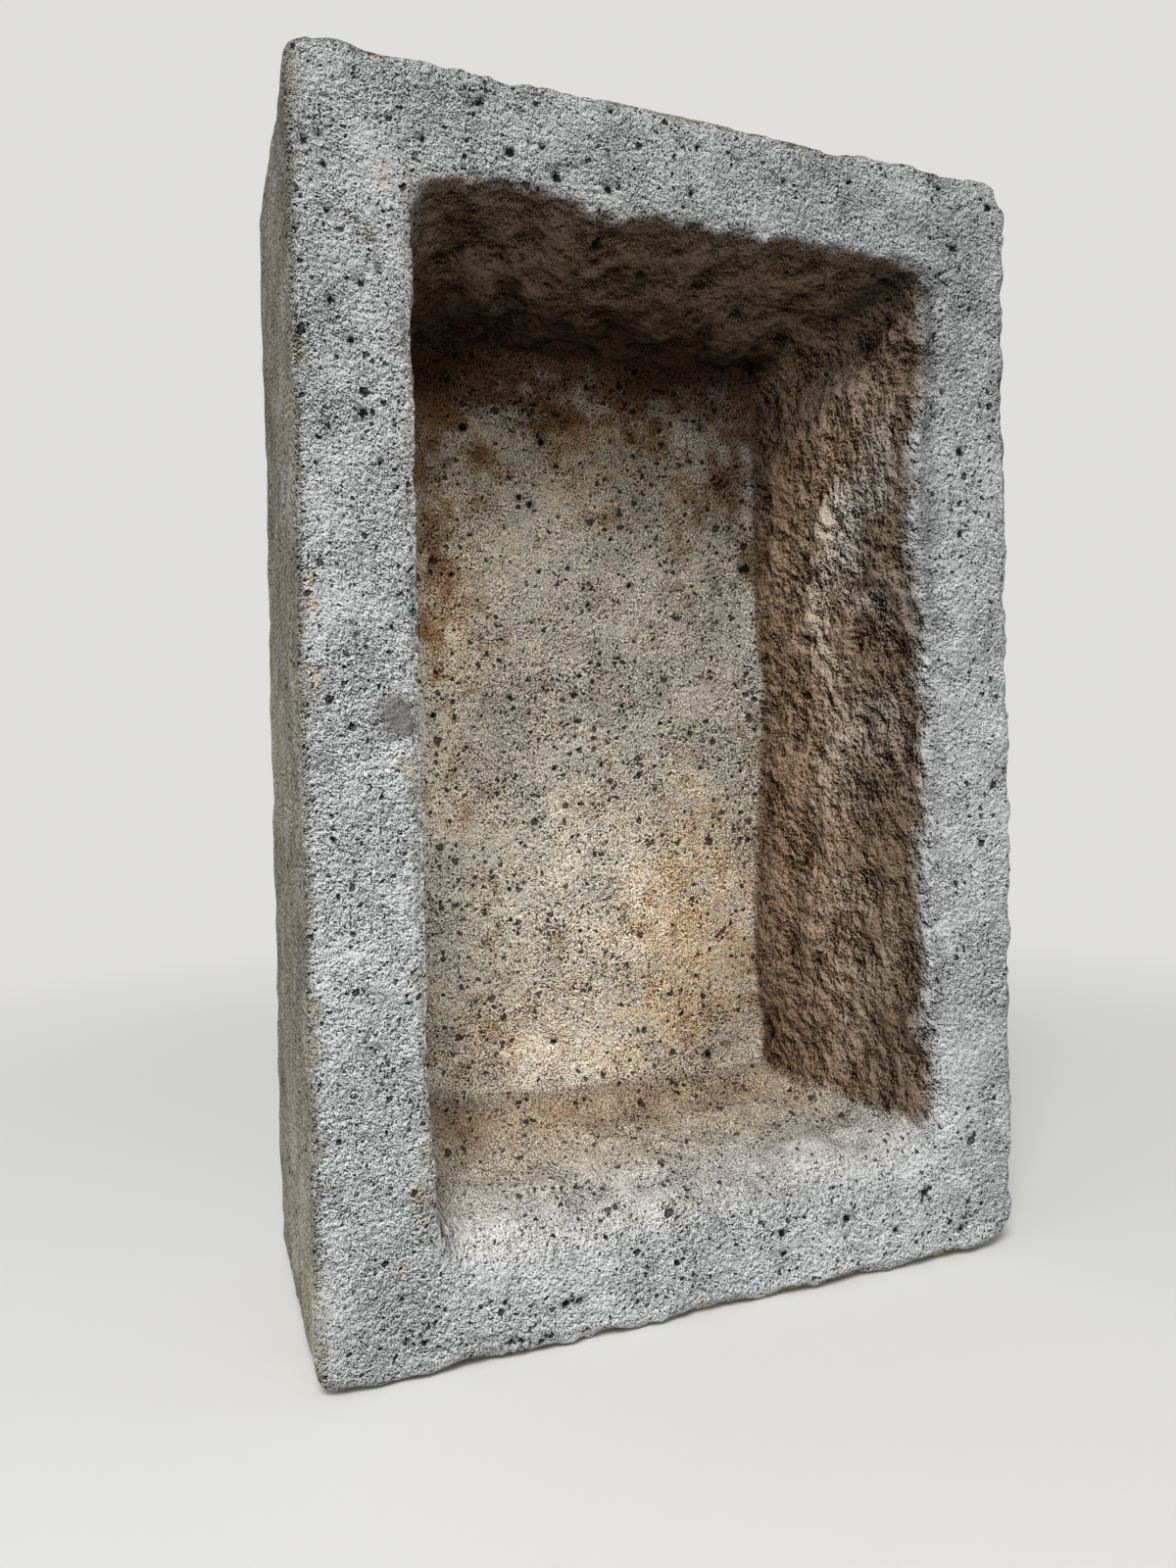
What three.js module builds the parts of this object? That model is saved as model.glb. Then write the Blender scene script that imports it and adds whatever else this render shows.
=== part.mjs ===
import * as THREE from 'three';

// A trough planter hewn from one block of porous lava stone, stood on its short end.
// Millimetres, +Z up. The hollow faces -Y, and the origin is the middle of the end that it stands on.

// The block: height is the trough's length, and depth runs from its rim to its underside
const blockHeight = 520;
const blockWidth = 340;
const blockDepth = 140;
const blockCornerRadius = { bottomLeft: 12, bottomRight: 19, topRight: 17, topLeft: 15 };

// How far each side leans in by the time it reaches the underside
const underside = { bottomLeft: 0, topLeft: 4.5, right: 3, top: 4 };
const undersideCornerRadius = { bottomLeft: 16, bottomRight: 22, topRight: 20, topLeft: 18 };

// The rim: the width of each wall where it meets the rim's face, which widens along the bottom
const rimWall = { left: 46, right: 47.5, top: 49, bottomLeft: 45, bottomRight: 59 };
const mouthCornerRadius = { bottomLeft: 18, bottomRight: 18, topRight: 14, topLeft: 13 };

// The hollow: how deep it is cut, and how far each wall runs in between the mouth and the floor
const hollowDepth = 106;
const wallRun = { left: 15, right: 34, top: 18, bottomLeft: 28, bottomRight: 8 };
const floorCornerRadius = { bottomLeft: 30, bottomRight: 28, topRight: 24, topLeft: 24 };

// Worn edges, as the radius on each side in turn
const rimArris = { bottom: 6, right: 5, top: 4.5, left: 3.5 };
const undersideArris = { bottom: 9, right: 10, top: 10, left: 11 };
const lip = { bottom: 20, right: 9, top: 5, left: 2.5 };
const floorFillet = { bottom: 21, right: 8, top: 10, left: 12 };

// Steps along each side, round each corner and round each worn edge
const shortSideSteps = 8;
const longSideSteps = 12;
const cornerSteps = 6;
const edgeSteps = 5;

const stone = new THREE.MeshStandardMaterial({ color: 0x85847f, roughness: 0.96, metalness: 0 });

const frontY = -blockDepth / 2;
const leftX = -blockWidth / 2;
const rightX = blockWidth / 2;

// Corners run bottom left, bottom right, top right, top left, seen from the hollow's side
function cornerList(set) {
  return [set.bottomLeft, set.bottomRight, set.topRight, set.topLeft];
}

// Sides run bottom, right, top, left, each one after the corner of the same place in the list
function sideList(set) {
  return [set.bottom, set.right, set.top, set.left];
}

// The arc that rounds one corner: its centre, its two tangent directions and its radius
function cornerArc(before, corner, after, radius) {
  const toBefore = before.clone().sub(corner).normalize();
  const toAfter = after.clone().sub(corner).normalize();
  const halfAngle = Math.acos(THREE.MathUtils.clamp(toBefore.dot(toAfter), -1, 1)) / 2;
  const inward = toBefore.clone().add(toAfter).normalize();
  const centre = corner.clone().addScaledVector(inward, radius / Math.sin(halfAngle));
  const tangentLength = radius / Math.tan(halfAngle);
  const start = corner.clone().addScaledVector(toBefore, tangentLength).sub(centre).angle();
  return { centre, radius, start, sweep: Math.PI - 2 * halfAngle };
}

// A four-sided outline with round corners, as places with the direction that points out of it
function roundedOutline(corners, radii) {
  const count = corners.length;
  const arcs = corners.map((corner, i) =>
    cornerArc(corners[(i + count - 1) % count], corner, corners[(i + 1) % count], radii[i]));
  const places = [];
  arcs.forEach((arc, i) => {
    for (let step = 0; step <= cornerSteps; step += 1) {
      const angle = arc.start + (arc.sweep * step) / cornerSteps;
      const outward = new THREE.Vector2(Math.cos(angle), Math.sin(angle));
      const at = arc.centre.clone().addScaledVector(outward, arc.radius);
      places.push({ at, outward });
    }
    const from = places[places.length - 1];
    const next = arcs[(i + 1) % count];
    const outward = new THREE.Vector2(Math.cos(next.start), Math.sin(next.start));
    const to = next.centre.clone().addScaledVector(outward, next.radius);
    const sideSteps = i % 2 === 0 ? shortSideSteps : longSideSteps;
    for (let step = 1; step < sideSteps; step += 1) {
      places.push({ at: from.at.clone().lerp(to, step / sideSteps), outward });
    }
  });
  return places;
}

// One value for each place of an outline: a side's own value, blended round each corner
function aroundOutline(sideValues) {
  const count = sideValues.length;
  const values = [];
  sideValues.forEach((value, i) => {
    const before = sideValues[(i + count - 1) % count];
    for (let step = 0; step <= cornerSteps; step += 1) {
      values.push(THREE.MathUtils.lerp(before, value, step / cornerSteps));
    }
    const sideSteps = i % 2 === 0 ? shortSideSteps : longSideSteps;
    for (let step = 1; step < sideSteps; step += 1) {
      values.push(value);
    }
  });
  return values;
}

// A ring round a tapering body whose outline runs from near to far. At each place, depth says how
// far from near it lies and inset how far it is drawn in from the body's surface.
function ringAround(body, depths, insets) {
  return body.near.map((place, i) => {
    const far = body.far[i];
    const share = depths[i] / body.length;
    const at = place.at.clone().lerp(far.at, share);
    const outward = place.outward.clone().lerp(far.outward, share).normalize();
    at.addScaledVector(outward, -insets[i]);
    return new THREE.Vector3(at.x, body.nearY + depths[i], at.y);
  });
}

// Rings round a quarter circle from the flat face at the body's near or far end to its side. An
// inset sign of +1 rounds within the outline, and -1 rounds outside it, as the lip of a hollow does.
function roundedEdge(body, radii, fromNear, insetSign) {
  const rings = [];
  for (let step = 0; step <= edgeSteps; step += 1) {
    const angle = (Math.PI / 2) * (step / edgeSteps);
    const insets = radii.map((radius) => insetSign * radius * (1 - Math.sin(angle)));
    const drops = radii.map((radius) => radius * (1 - Math.cos(angle)));
    const depths = drops.map((drop) => (fromNear ? drop : body.length - drop));
    rings.push(ringAround(body, depths, insets));
  }
  return rings;
}

// The outside of the block, from the rim's face to the underside
function blockBody() {
  const front = [
    new THREE.Vector2(leftX, 0),
    new THREE.Vector2(rightX, 0),
    new THREE.Vector2(rightX, blockHeight),
    new THREE.Vector2(leftX, blockHeight),
  ];
  const back = [
    new THREE.Vector2(leftX + underside.bottomLeft, 0),
    new THREE.Vector2(rightX - underside.right, 0),
    new THREE.Vector2(rightX - underside.right, blockHeight - underside.top),
    new THREE.Vector2(leftX + underside.topLeft, blockHeight - underside.top),
  ];
  return {
    near: roundedOutline(front, cornerList(blockCornerRadius)),
    far: roundedOutline(back, cornerList(undersideCornerRadius)),
    nearY: frontY,
    length: blockDepth,
  };
}

// The hollow, from its mouth in the rim's face to its floor
function hollowBody() {
  const mouthLeft = leftX + rimWall.left;
  const mouthRight = rightX - rimWall.right;
  const mouthTop = blockHeight - rimWall.top;
  const mouth = [
    new THREE.Vector2(mouthLeft, rimWall.bottomLeft),
    new THREE.Vector2(mouthRight, rimWall.bottomRight),
    new THREE.Vector2(mouthRight, mouthTop),
    new THREE.Vector2(mouthLeft, mouthTop),
  ];
  const floor = [
    new THREE.Vector2(mouthLeft + wallRun.left, rimWall.bottomLeft + wallRun.bottomLeft),
    new THREE.Vector2(mouthRight - wallRun.right, rimWall.bottomRight + wallRun.bottomRight),
    new THREE.Vector2(mouthRight - wallRun.right, mouthTop - wallRun.top),
    new THREE.Vector2(mouthLeft + wallRun.left, mouthTop - wallRun.top),
  ];
  return {
    near: roundedOutline(mouth, cornerList(mouthCornerRadius)),
    far: roundedOutline(floor, cornerList(floorCornerRadius)),
    nearY: frontY,
    length: hollowDepth,
  };
}

// The middle of a ring, where the flat face inside it is closed
function middleOf(ring) {
  const middle = new THREE.Vector3();
  ring.forEach((point) => middle.add(point));
  return middle.divideScalar(ring.length);
}

// A closed skin over rings that all have the same number of points, with a flat face at each end
function skinOver(rings) {
  const count = rings[0].length;
  const points = rings.flat();
  const index = [];
  for (let ring = 0; ring + 1 < rings.length; ring += 1) {
    for (let place = 0; place < count; place += 1) {
      const next = (place + 1) % count;
      const here = ring * count;
      const beyond = here + count;
      index.push(here + place, here + next, beyond + place);
      index.push(here + next, beyond + next, beyond + place);
    }
  }
  const firstMiddle = points.length;
  const lastMiddle = firstMiddle + 1;
  const lastRing = (rings.length - 1) * count;
  points.push(middleOf(rings[0]), middleOf(rings[rings.length - 1]));
  for (let place = 0; place < count; place += 1) {
    const next = (place + 1) % count;
    index.push(firstMiddle, next, place);
    index.push(lastMiddle, lastRing + place, lastRing + next);
  }
  const geometry = new THREE.BufferGeometry().setFromPoints(points);
  geometry.setIndex(index);
  geometry.computeVertexNormals();
  return geometry;
}

// The whole stone: underside, sides, rim, lip, walls and floor, as one skin from back to hollow
function stoneTrough() {
  const block = blockBody();
  const hollow = hollowBody();
  const backEdge = roundedEdge(block, aroundOutline(sideList(undersideArris)), false, 1);
  const frontEdge = roundedEdge(block, aroundOutline(sideList(rimArris)), true, 1).reverse();
  const lipEdge = roundedEdge(hollow, aroundOutline(sideList(lip)), true, -1);
  const floorEdge = roundedEdge(hollow, aroundOutline(sideList(floorFillet)), false, 1).reverse();
  const mesh = new THREE.Mesh(skinOver([...backEdge, ...frontEdge, ...lipEdge, ...floorEdge]), stone);
  mesh.name = 'stone_trough';
  return mesh;
}

const trough = new THREE.Group();
trough.add(stoneTrough());

export default trough;
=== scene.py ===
import functools
import itertools
import math

import bpy
import numpy as np
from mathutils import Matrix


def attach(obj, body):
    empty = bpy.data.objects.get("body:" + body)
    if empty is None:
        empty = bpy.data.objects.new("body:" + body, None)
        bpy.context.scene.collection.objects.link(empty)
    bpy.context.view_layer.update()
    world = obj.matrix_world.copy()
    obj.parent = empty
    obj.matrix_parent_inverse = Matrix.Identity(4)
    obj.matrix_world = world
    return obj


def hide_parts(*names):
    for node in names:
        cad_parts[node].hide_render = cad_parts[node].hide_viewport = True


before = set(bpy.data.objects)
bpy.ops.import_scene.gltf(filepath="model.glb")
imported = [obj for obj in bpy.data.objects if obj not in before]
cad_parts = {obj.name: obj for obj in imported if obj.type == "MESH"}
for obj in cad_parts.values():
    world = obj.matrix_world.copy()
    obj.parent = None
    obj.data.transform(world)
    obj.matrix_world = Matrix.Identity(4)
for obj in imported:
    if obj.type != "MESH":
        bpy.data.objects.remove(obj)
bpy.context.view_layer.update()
scene = bpy.context.scene
scene.view_settings.view_transform = "Standard"
print("frame loaded:", sorted(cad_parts))

# Camera, floor and light
cameraView = {
    "eye": (-0.2175, -0.4888, 0.2453),  # metres, level with the middle of the stone
    "turn": (88.657, 1.098, -21.317),  # degrees, with the slight tilt of a hand-held photo
    "focalLength": 24.905,
    "sensor": 36,
    "clip": (0.01, 60),
}
stageSet = {
    "floorRadius": 9,
    "floorSides": 96,
    "floorColour": (0.82, 0.815, 0.80),
    "floorRoughness": 0.85,
    "floorSpecular": 0.2,
    "fade": (0.2, 1.1),  # metres from the stone over which the floor turns into sky
    "skyColour": (0.74, 0.735, 0.72),  # what the camera sees behind the floor
    "skyLight": 0.32,  # what the sky gives as light
    "skyLightColour": (0.94, 0.97, 1),
}
# place, aim, size and power of each soft box
softBoxes = {
    "overhead": {
        "at": (-0.7, -1.35, 1.95), "aim": (0, 0, 0.25),
        "size": 0.8, "watts": 44, "tint": (1, 0.99, 0.97),
    },
    "window": {
        "at": (-1.9, -1.2, 0.6), "aim": (0, 0, 0.25),
        "size": 1.4, "watts": 6, "tint": (0.9, 0.95, 1),
    },
}


def addCamera(facts):
    # The photo's camera: its place, its turn and its lens
    cam = bpy.data.cameras.new("photoCamera")
    cam.sensor_width = facts["sensor"]
    cam.lens = facts["focalLength"]
    cam.clip_start, cam.clip_end = facts["clip"]
    holder = bpy.data.objects.new("photoCamera", cam)
    holder.location = facts["eye"]
    holder.rotation_euler = [math.radians(angle) for angle in facts["turn"]]
    scene.collection.objects.link(holder)
    scene.camera = holder


def addSoftBox(name, facts):
    # A lamp shines along its own -Z: the cosine of its tilt is height / distance from its aim
    lamp = bpy.data.lights.new(name, "AREA")
    lamp.shape = "SQUARE"
    lamp.size = facts["size"]
    lamp.energy = facts["watts"]
    lamp.color = facts["tint"]
    holder = bpy.data.objects.new(name, lamp)
    at = np.array(facts["at"])
    away = at - np.array(facts["aim"])
    tilt = math.acos(away[2] / np.linalg.norm(away))
    bearing = math.atan2(away[0], -away[1])
    holder.location = at
    holder.rotation_euler = (tilt, 0.0, bearing)
    scene.collection.objects.link(holder)


def addNode(tree, kind, inputs=None, **settings):
    # One shader node: settings are its own options, and each input is a value or another node's output
    node = tree.nodes.new("ShaderNode" + kind)
    for key, value in settings.items():
        setattr(node, key, value)
    for key, value in (inputs or {}).items():
        if isinstance(value, bpy.types.NodeSocket):
            tree.links.new(value, node.inputs[key])
        else:
            node.inputs[key].default_value = value
    return node


def mathNode(tree, operation, *inputs):
    # The operation that is named, on its inputs in turn
    return addNode(tree, "Math", dict(enumerate(inputs)), operation=operation).outputs[0]


def easeNode(tree, value, low, high):
    # 0 below low, 1 above high, and 3t^2 - 2t^3 between them
    return addNode(tree, "MapRange", {0: value, 1: low, 2: high}, interpolation_type="SMOOTHSTEP").outputs[0]


def addFloor(facts):
    # A disc: places at radius times the cosine and sine of evenly spread angles
    sides = facts["floorSides"]
    angles = np.linspace(0, 2 * math.pi, sides + 1)[:-1]
    rim = np.stack([np.cos(angles), np.sin(angles), np.zeros(sides)], axis=1) * facts["floorRadius"]
    mesh = bpy.data.meshes.new("paleFloor")
    mesh.from_pydata(rim.tolist(), [], [list(range(sides))])
    floor = bpy.data.objects.new("paleFloor", mesh)
    scene.collection.objects.link(floor)
    paint = bpy.data.materials.new("paleFloor")
    paint.use_nodes = True
    paint.node_tree.nodes.clear()
    tree = paint.node_tree
    shader = addNode(tree, "BsdfPrincipled", {
        "Base Color": (*facts["floorColour"], 1), "Roughness": facts["floorRoughness"],
        "Specular IOR Level": facts["floorSpecular"]})
    # far from the stone the camera sees the floor in the sky's colour, so that no horizon line shows
    place = addNode(tree, "TexCoord").outputs["Object"]
    reach = addNode(tree, "VectorMath", {0: place}, operation="LENGTH").outputs["Value"]
    far = easeNode(tree, reach, *facts["fade"])
    shown = mathNode(tree, "MULTIPLY", far, addNode(tree, "LightPath").outputs["Is Camera Ray"])
    glow = addNode(tree, "Emission", {"Color": (*facts["skyColour"], 1), "Strength": 1.0})
    mix = addNode(tree, "MixShader", {0: shown, 1: shader.outputs[0], 2: glow.outputs[0]})
    tree.links.new(mix.outputs[0], addNode(tree, "OutputMaterial").inputs["Surface"])
    mesh.materials.append(paint)


def addSky(facts):
    # The camera and mirrors see a pale wall, and the light that it gives is set apart from that
    world = bpy.data.worlds.new("paleRoom")
    scene.world = world
    world.use_nodes = True
    tree = world.node_tree
    tree.nodes.clear()
    paths = addNode(tree, "LightPath").outputs
    seen = mathNode(tree, "MAXIMUM", paths["Is Camera Ray"], paths["Is Glossy Ray"])
    seen = mathNode(tree, "MAXIMUM", seen, paths["Is Transmission Ray"])
    shown = addNode(tree, "Background", {"Color": (*facts["skyColour"], 1), "Strength": 1.0})
    given = addNode(tree, "Background", {
        "Color": (*facts["skyLightColour"], 1), "Strength": facts["skyLight"]})
    mix = addNode(tree, "MixShader", {0: seen, 1: given.outputs[0], 2: shown.outputs[0]})
    tree.links.new(mix.outputs[0], addNode(tree, "OutputWorld").inputs["Surface"])


addCamera(cameraView)
addFloor(stageSet)
addSky(stageSet)
for lampName, lampFacts in softBoxes.items():
    addSoftBox(lampName, lampFacts)
print("camera, floor and light placed")

# The plain shape, in millimetres: x to the right and z up as the hollow is seen, y from rim to underside.
# Corners run bottom left, bottom right, top right, top left; sides run bottom, right, top, left.
blockShape = {
    "height": 520, "width": 340, "depth": 140,
    "corners": (12, 19, 17, 12),
    "backLean": {"bottomLeft": 0, "topLeft": 2, "right": 3, "top": 3},
    "backCorners": (14, 22, 20, 10),
    "rimArris": (6, 5, 4.5, 3.5),
    "backArris": (9, 10, 8, 8),
}
hollowShape = {
    "rimWall": {"left": 46, "right": 47.5, "top": 49, "bottomLeft": 45, "bottomRight": 59},
    "corners": (18, 18, 14, 13),
    "depth": 106,
    "wallRun": {"left": 15, "right": 34, "top": 18, "bottomLeft": 28, "bottomRight": 8},
    "floorCorners": (30, 28, 24, 24),
    "lip": (20, 9, 5, 2.5),
    "floorFillet": (21, 8, 10, 12),
}
# how many steps the skin has: across and up each fine ring, and from ring to ring
skinSteps = {
    "across": 116, "up": 224,
    "backArris": 5, "side": 25, "rimArris": 5, "rim": 26, "lip": 6, "wall": 34, "fillet": 6,
}
mm = 0.001


def rollingOutline(corners, radii, across, up):
    # A circle rolls round inside four corners, from half way round the first. Centre and radius change evenly
    # along each side, and each place is centre + radius * outward direction.
    corners = np.array(corners, float)
    before, after = np.roll(corners, 1, axis=0) - corners, np.roll(corners, -1, axis=0) - corners
    before /= np.linalg.norm(before, axis=1)[:, None]
    after /= np.linalg.norm(after, axis=1)[:, None]
    half = np.arccos((before * after).sum(axis=1)) / 2
    middle = (before + after) / np.linalg.norm(before + after, axis=1)[:, None]
    centres = corners + middle * (np.array(radii) / np.sin(half))[:, None]
    sweeps = math.pi - 2 * half
    middleAngles = np.arctan2(-middle[:, 1], -middle[:, 0])
    at, outward, shares = [], [], []
    for k in range(4):
        n = (k + 1) % 4
        count = across if k % 2 == 0 else up
        arcOut, arcIn = radii[k] * sweeps[k] / 2, radii[n] * sweeps[n] / 2
        straight = np.linalg.norm(centres[n] - centres[k])
        stops = np.cumsum([0, arcOut, straight, arcIn])
        run = np.arange(count) / count * stops[-1]
        endAngle = middleAngles[k] + sweeps[k] / 2
        angle = np.interp(run, stops, [middleAngles[k], endAngle, endAngle, endAngle + sweeps[n] / 2])
        slide = np.interp(run, stops, [0, 0, 1, 1])[:, None]
        direction = np.stack([np.cos(angle), np.sin(angle)], axis=1)
        centre = centres[k] * (1 - slide) + centres[n] * slide
        radius = radii[k] * (1 - slide) + radii[n] * slide
        share = np.zeros((count, 4))  # how much each side's own value counts here
        share[:, k] = np.interp(run, stops, [0.5, 1, 1, 0.5])
        share[:, (k + 3) % 4] = np.interp(run, stops, [0.5, 0, 0, 0])
        share[:, n] = np.interp(run, stops, [0, 0, 0, 0.5])
        at.append(centre + radius * direction)
        outward.append(direction)
        shares.append(share)
    return {"at": np.concatenate(at), "outward": np.concatenate(outward), "shares": np.concatenate(shares)}


def ringAt(body, depth, inset):
    # The outline slides from near to far by depth / length, and is drawn in by inset
    share = (depth / body["length"])[:, None]
    at = body["near"]["at"] * (1 - share) + body["far"]["at"] * share
    outward = body["near"]["outward"] * (1 - share) + body["far"]["outward"] * share
    outward /= np.linalg.norm(outward, axis=1)[:, None]
    at = at - outward * inset[:, None]
    return np.stack([at[:, 0], body["nearY"] + depth, at[:, 1]], axis=1)


def roundedRings(body, sideRadii, fromNear, insetSign, steps):
    # A quarter circle from a flat face to the side: inset = radius * (1 - sin), drop = radius * (1 - cos), and
    # radius is the sides' radii times how much each side counts
    radii = body["near"]["shares"] @ np.array(sideRadii)
    rings = []
    for angle in np.linspace(0, math.pi / 2, steps + 1):
        drop = radii * (1 - math.cos(angle))
        depth = drop if fromNear else body["length"] - drop
        rings.append(ringAt(body, depth, insetSign * radii * (1 - math.sin(angle))))
    return rings


def ringsBetween(first, last, steps):
    # Rings strictly between two rings: first * (1 - share) + last * share
    return [first * (1 - share) + last * share for share in np.arange(1, steps) / steps]


def ringSides(ring, across, up):
    # A ring's bottom, right, top and left, each of them running to the right or up
    top = ring[across + up:2 * across + up + 1][::-1]
    left = np.concatenate([ring[2 * across + up:], ring[:1]])[::-1]
    return ring[:across + 1], ring[across:across + up + 1], top, left


def filledGrid(ring, across, up):
    # The face inside a ring, blended from its four sides: the two side blends added, less the corner blend
    u = np.linspace(0, 1, across + 1)[:, None, None]
    v = np.linspace(0, 1, up + 1)[None, :, None]
    bottom, right, top, left = ringSides(ring, across, up)
    corners = ((1 - u) * (1 - v) * ring[0] + u * (1 - v) * ring[across]
               + u * v * ring[across + up] + (1 - u) * v * ring[2 * across + up])
    return (1 - v) * bottom[:, None] + v * top[:, None] + (1 - u) * left[None] + u * right[None] - corners


def gridNumbers(ringStart, ringCount, innerStart, across, up):
    # The vertex numbers of a filled grid: its edge is the ring that is there already, and the inside is new
    numbers = np.zeros((across + 1, up + 1), int)
    numbers[1:-1, 1:-1] = innerStart + np.arange((across - 1) * (up - 1)).reshape(across - 1, up - 1)
    edge = ringStart + np.arange(ringCount)
    numbers[:, 0], numbers[-1, :], numbers[:, -1], numbers[0, :] = ringSides(edge, across, up)
    return numbers


def stoneSkin(block, hollow, steps):
    # One closed skin. Coarse rings run from the back over the sides, and fine rings from the rim's arris over
    # the rim, lip and walls to the floor; a grid closes the back and another the floor.
    across, up = steps["across"], steps["up"]
    wide, tall = block["width"] / 2, block["height"]
    lean, wall, run = block["backLean"], hollow["rimWall"], hollow["wallRun"]
    front = [(-wide, 0), (wide, 0), (wide, tall), (-wide, tall)]
    back = [(-wide + lean["bottomLeft"], 0), (wide - lean["right"], 0),
            (wide - lean["right"], tall - lean["top"]), (-wide + lean["topLeft"], tall - lean["top"])]
    mouth = [(-wide + wall["left"], wall["bottomLeft"]), (wide - wall["right"], wall["bottomRight"]),
             (wide - wall["right"], tall - wall["top"]), (-wide + wall["left"], tall - wall["top"])]
    floor = [(mouth[0][0] + run["left"], mouth[0][1] + run["bottomLeft"]),
             (mouth[1][0] - run["right"], mouth[1][1] + run["bottomRight"]),
             (mouth[2][0] - run["right"], mouth[2][1] - run["top"]),
             (mouth[3][0] + run["left"], mouth[3][1] - run["top"])]

    def bodyBetween(near, nearRadii, far, farRadii, length):
        # A body from its near outline, in the rim's face, to its far one
        near, far = rollingOutline(near, nearRadii, across, up), rollingOutline(far, farRadii, across, up)
        return {"near": near, "far": far, "nearY": -block["depth"] / 2, "length": length}

    blockBody = bodyBetween(front, block["corners"], back, block["backCorners"], block["depth"])
    hollowBody = bodyBetween(mouth, hollow["corners"], floor, hollow["floorCorners"], hollow["depth"])
    backArris = roundedRings(blockBody, block["backArris"], False, 1, steps["backArris"])
    rimArris = roundedRings(blockBody, block["rimArris"], True, 1, steps["rimArris"])[::-1]
    lip = roundedRings(hollowBody, hollow["lip"], True, -1, steps["lip"])
    fillet = roundedRings(hollowBody, hollow["floorFillet"], False, 1, steps["fillet"])[::-1]
    coarse = backArris + ringsBetween(backArris[-1], rimArris[0], steps["side"])
    coarse = [ring[::2] for ring in coarse]
    fine = (rimArris + ringsBetween(rimArris[-1], lip[0], steps["rim"])
            + lip + ringsBetween(lip[-1], fillet[0], steps["wall"]) + fillet)
    backGrid = filledGrid(coarse[0], across // 2, up // 2)
    floorGrid = filledGrid(fine[-1], across, up)

    coarseCount, fineCount = across + up, 2 * (across + up)
    coarseStart = np.arange(len(coarse)) * coarseCount
    fineStart = len(coarse) * coarseCount + np.arange(len(fine)) * fineCount
    backStart = fineStart[-1] + fineCount
    floorStart = backStart + (across // 2 - 1) * (up // 2 - 1)
    points = np.concatenate(coarse + fine + [
        backGrid[1:-1, 1:-1].reshape(-1, 3), floorGrid[1:-1, 1:-1].reshape(-1, 3)])

    def strip(starts, count):
        # Quads from each ring to the next one
        here = starts[:-1, None] + np.arange(count)
        there = starts[:-1, None] + (np.arange(count) + 1) % count
        return np.stack([here, there, there + count, here + count], axis=-1).reshape(-1, 4)

    def sheet(numbers):
        # Quads over a grid of vertex numbers
        corners = [numbers[:-1, :-1], numbers[1:, :-1], numbers[1:, 1:], numbers[:-1, 1:]]
        return np.stack(corners, axis=-1).reshape(-1, 4)

    backNumbers = gridNumbers(coarseStart[0], coarseCount, backStart, across // 2, up // 2)
    floorNumbers = gridNumbers(fineStart[-1], fineCount, floorStart, across, up)
    quads = np.concatenate([
        strip(coarseStart, coarseCount), strip(fineStart, fineCount),
        sheet(backNumbers)[:, ::-1], sheet(floorNumbers)])
    # where the coarse rings meet the fine ones, each coarse step takes two fine steps and three triangles
    step = np.arange(coarseCount)
    low, lowNext = coarseStart[-1] + step, coarseStart[-1] + (step + 1) % coarseCount
    high, highHalf = fineStart[0] + 2 * step, fineStart[0] + 2 * step + 1
    highNext = fineStart[0] + (2 * step + 2) % fineCount
    corners = (low, highHalf, high), (low, lowNext, highHalf), (lowNext, highNext, highHalf)
    triangles = np.concatenate([np.stack(three, axis=1) for three in corners])
    insideStart = fineStart[steps["rimArris"] + steps["rim"]]
    inside = np.zeros(len(points), bool)  # from the lip inwards
    inside[insideStart:backStart] = True
    inside[floorStart:] = True
    return points, quads, triangles, inside


def cornersOf(quads, triangles):
    # Every face as triangles, for the normals: each quad is two
    return np.concatenate([quads[:, [0, 1, 2]], quads[:, [0, 2, 3]], triangles])


def normalsOf(points, faces):
    # Each face's cross product is added to its three corners, and the sums are made one long
    cross = np.cross(points[faces[:, 1]] - points[faces[:, 0]], points[faces[:, 2]] - points[faces[:, 0]])
    total = np.zeros_like(points)
    for corner, axis in itertools.product(range(3), range(3)):
        total[:, axis] += np.bincount(faces[:, corner], cross[:, axis], len(points))
    return total / np.maximum(np.linalg.norm(total, axis=1), 1e-9)[:, None]


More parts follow.
